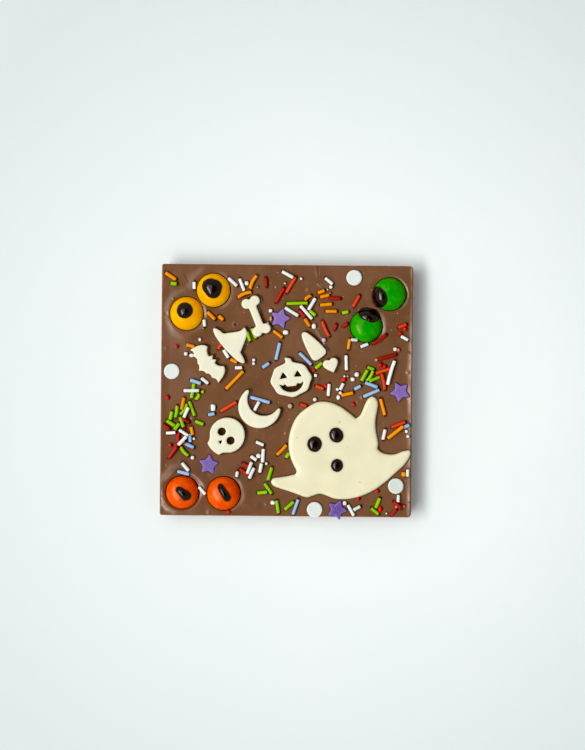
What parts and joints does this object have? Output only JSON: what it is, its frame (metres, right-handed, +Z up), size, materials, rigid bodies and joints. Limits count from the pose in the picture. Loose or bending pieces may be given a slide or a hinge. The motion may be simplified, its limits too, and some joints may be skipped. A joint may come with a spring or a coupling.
{
  "type": "chocolate bar",
  "caption": "Square milk chocolate bar with a white chocolate ghost, sugar-shelled sweets that look like eyes, flat white figures, sugar stars, discs and sprinkles set in its top.",
  "frame": {"origin": "middle of the flat underside of the slab", "axes": "+X to the right of the ghost's picture, +Y towards the top of the picture, +Z up out of the dressed face"},
  "size_m": [0.0996, 0.1008, 0.0127],
  "materials": {
    "milk_chocolate": "satin, slightly uneven milk chocolate",
    "white_chocolate": "satin white chocolate",
    "dark_chocolate": "glossy dark chocolate",
    "sugar_yellow": "satin sugar shell, slightly mottled",
    "sugar_green": "satin sugar shell, slightly mottled",
    "sugar_orange": "satin sugar shell, slightly mottled",
    "sugar_white": "dull pressed sugar",
    "sugar_purple": "dull pressed sugar"
  },
  "bodies": {
    "root": {"slab": "milk_chocolate", "ghost": "white_chocolate", "ghost_eye_left": "dark_chocolate", "ghost_eye_right": "dark_chocolate", "ghost_mouth": "dark_chocolate", "sweet_yellow_a": "sugar_yellow", "pupil_yellow_a": "dark_chocolate", "sweet_yellow_b": "sugar_yellow", "pupil_yellow_b": "dark_chocolate", "sweet_green_a": "sugar_green", "pupil_green_a": "dark_chocolate", "sweet_green_b": "sugar_green", "pupil_green_b": "dark_chocolate", "sweet_orange_a": "sugar_orange", "pupil_orange_a": "dark_chocolate", "sweet_orange_b": "sugar_orange", "pupil_orange_b": "dark_chocolate", "figure_bat": "white_chocolate", "figure_hat": "white_chocolate", "figure_bone": "white_chocolate", "figure_skull": "white_chocolate", "figure_moon": "white_chocolate", "figure_pumpkin": "white_chocolate", "figure_corn": "white_chocolate", "figure_heart": "white_chocolate", "star_1": "sugar_purple", "star_2": "sugar_purple", "star_3": "sugar_purple", "star_4": "sugar_purple", "disc_1": "sugar_white", "disc_2": "sugar_white", "disc_3": "sugar_white", "disc_4": "sugar_white"}
  },
  "joints": []
}
